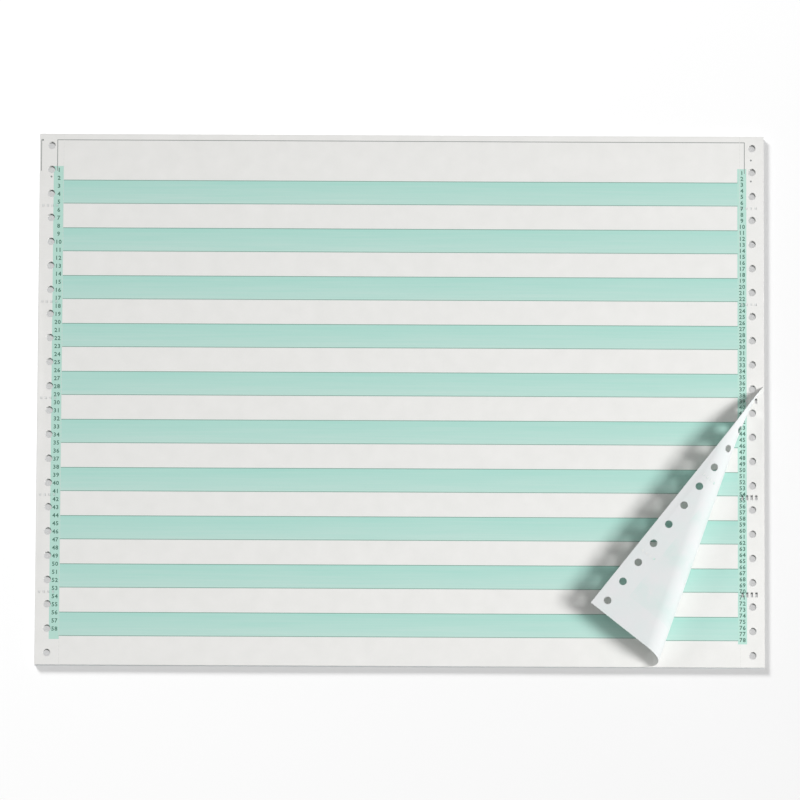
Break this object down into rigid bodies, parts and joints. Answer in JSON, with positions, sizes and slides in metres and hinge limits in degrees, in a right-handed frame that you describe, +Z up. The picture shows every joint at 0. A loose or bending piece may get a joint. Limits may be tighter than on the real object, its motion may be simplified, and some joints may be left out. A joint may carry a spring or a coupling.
{
  "type": "fanfold continuous form paper",
  "caption": "Short stack of wide two-ply continuous forms, folded to and fro, with feed holes down both sides and the top sheet's lower right corner rolled over.",
  "frame": {"origin": "middle of the stack's underside, on the surface it lies on", "axes": "+X across the form to the right as it is read, +Y along the form towards its head, +Z up out of the printed face"},
  "size_m": [0.3778, 0.2794, 0.0204],
  "materials": {
    "form_paper": "uncoated white form paper, pale green bars printed across its face"
  },
  "bodies": {
    "root": {"fanfold_paper": "form_paper"}
  },
  "joints": []
}
